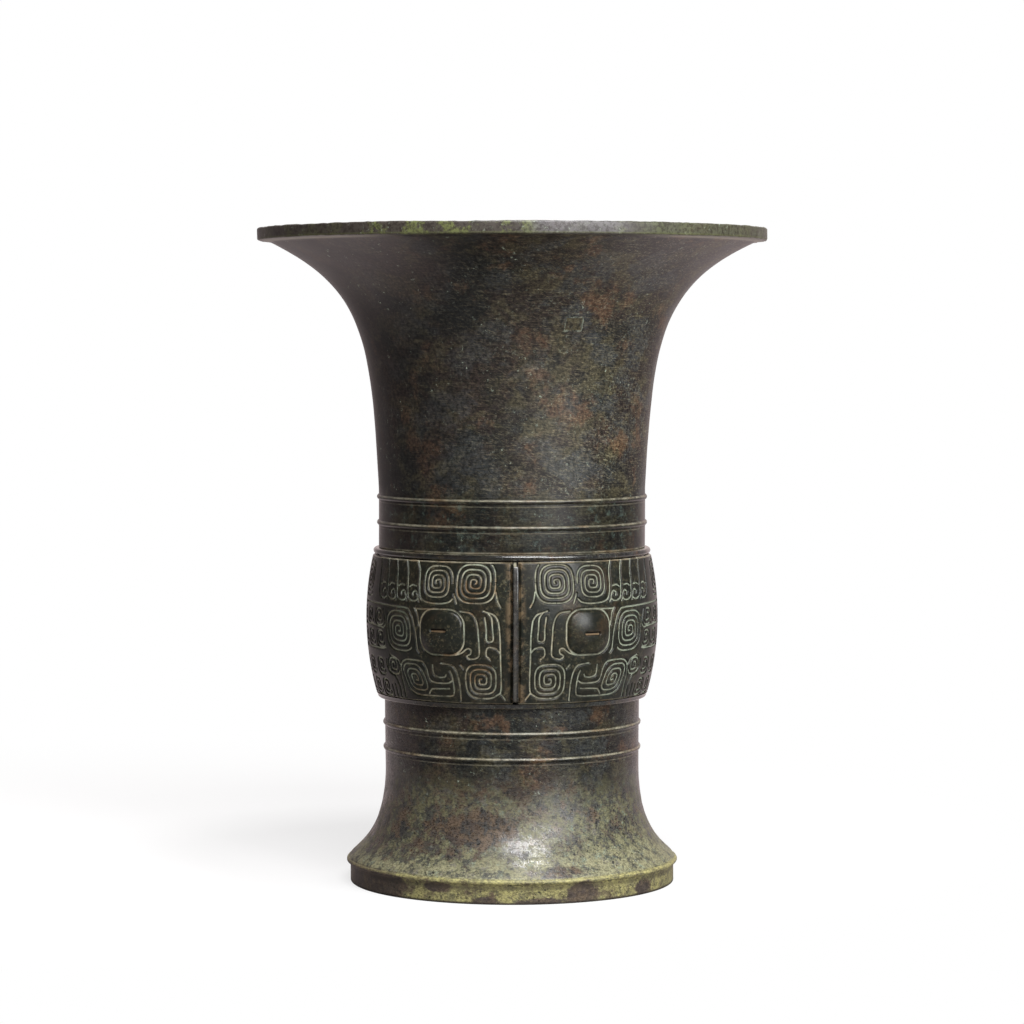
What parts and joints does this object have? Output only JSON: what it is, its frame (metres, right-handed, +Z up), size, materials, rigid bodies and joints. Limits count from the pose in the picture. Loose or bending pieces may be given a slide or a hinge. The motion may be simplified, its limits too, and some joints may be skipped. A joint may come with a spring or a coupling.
{
  "type": "bronze zun wine vessel",
  "caption": "Trumpet-mouthed bronze zun wine vessel with flared rim, bulging belly register carved with animal masks, raised bow-string lines and a tall ring foot.",
  "frame": {"origin": "centre of the standing ring, on the ground", "axes": "+Z up along the vessel's axis, -Y towards the front mask's nose ridge"},
  "size_m": [0.2024, 0.2024, 0.26],
  "materials": {
    "neck_bronze": "dark brown patina with green mottling, satin",
    "belly_bronze": "dark brown patina, satin",
    "inner_bronze": "dull green-brown patina",
    "foot_bronze": "olive and brown patina, satin",
    "mask_bronze": "dark polished high spots with pale green-grey patina in the carved lines",
    "ridge_bronze": "dark worn patina, slightly glossy",
    "spacer_bronze": "brown patina, satin"
  },
  "bodies": {
    "root": {"neck": "neck_bronze", "belly": "belly_bronze", "floor": "inner_bronze", "foot": "foot_bronze", "front_mask_left": "mask_bronze", "front_mask_right": "mask_bronze", "back_mask_left": "mask_bronze", "back_mask_right": "mask_bronze", "front_ridge": "ridge_bronze", "back_ridge": "ridge_bronze", "neck_spacers": "spacer_bronze", "floor_spacers": "spacer_bronze"}
  },
  "joints": []
}
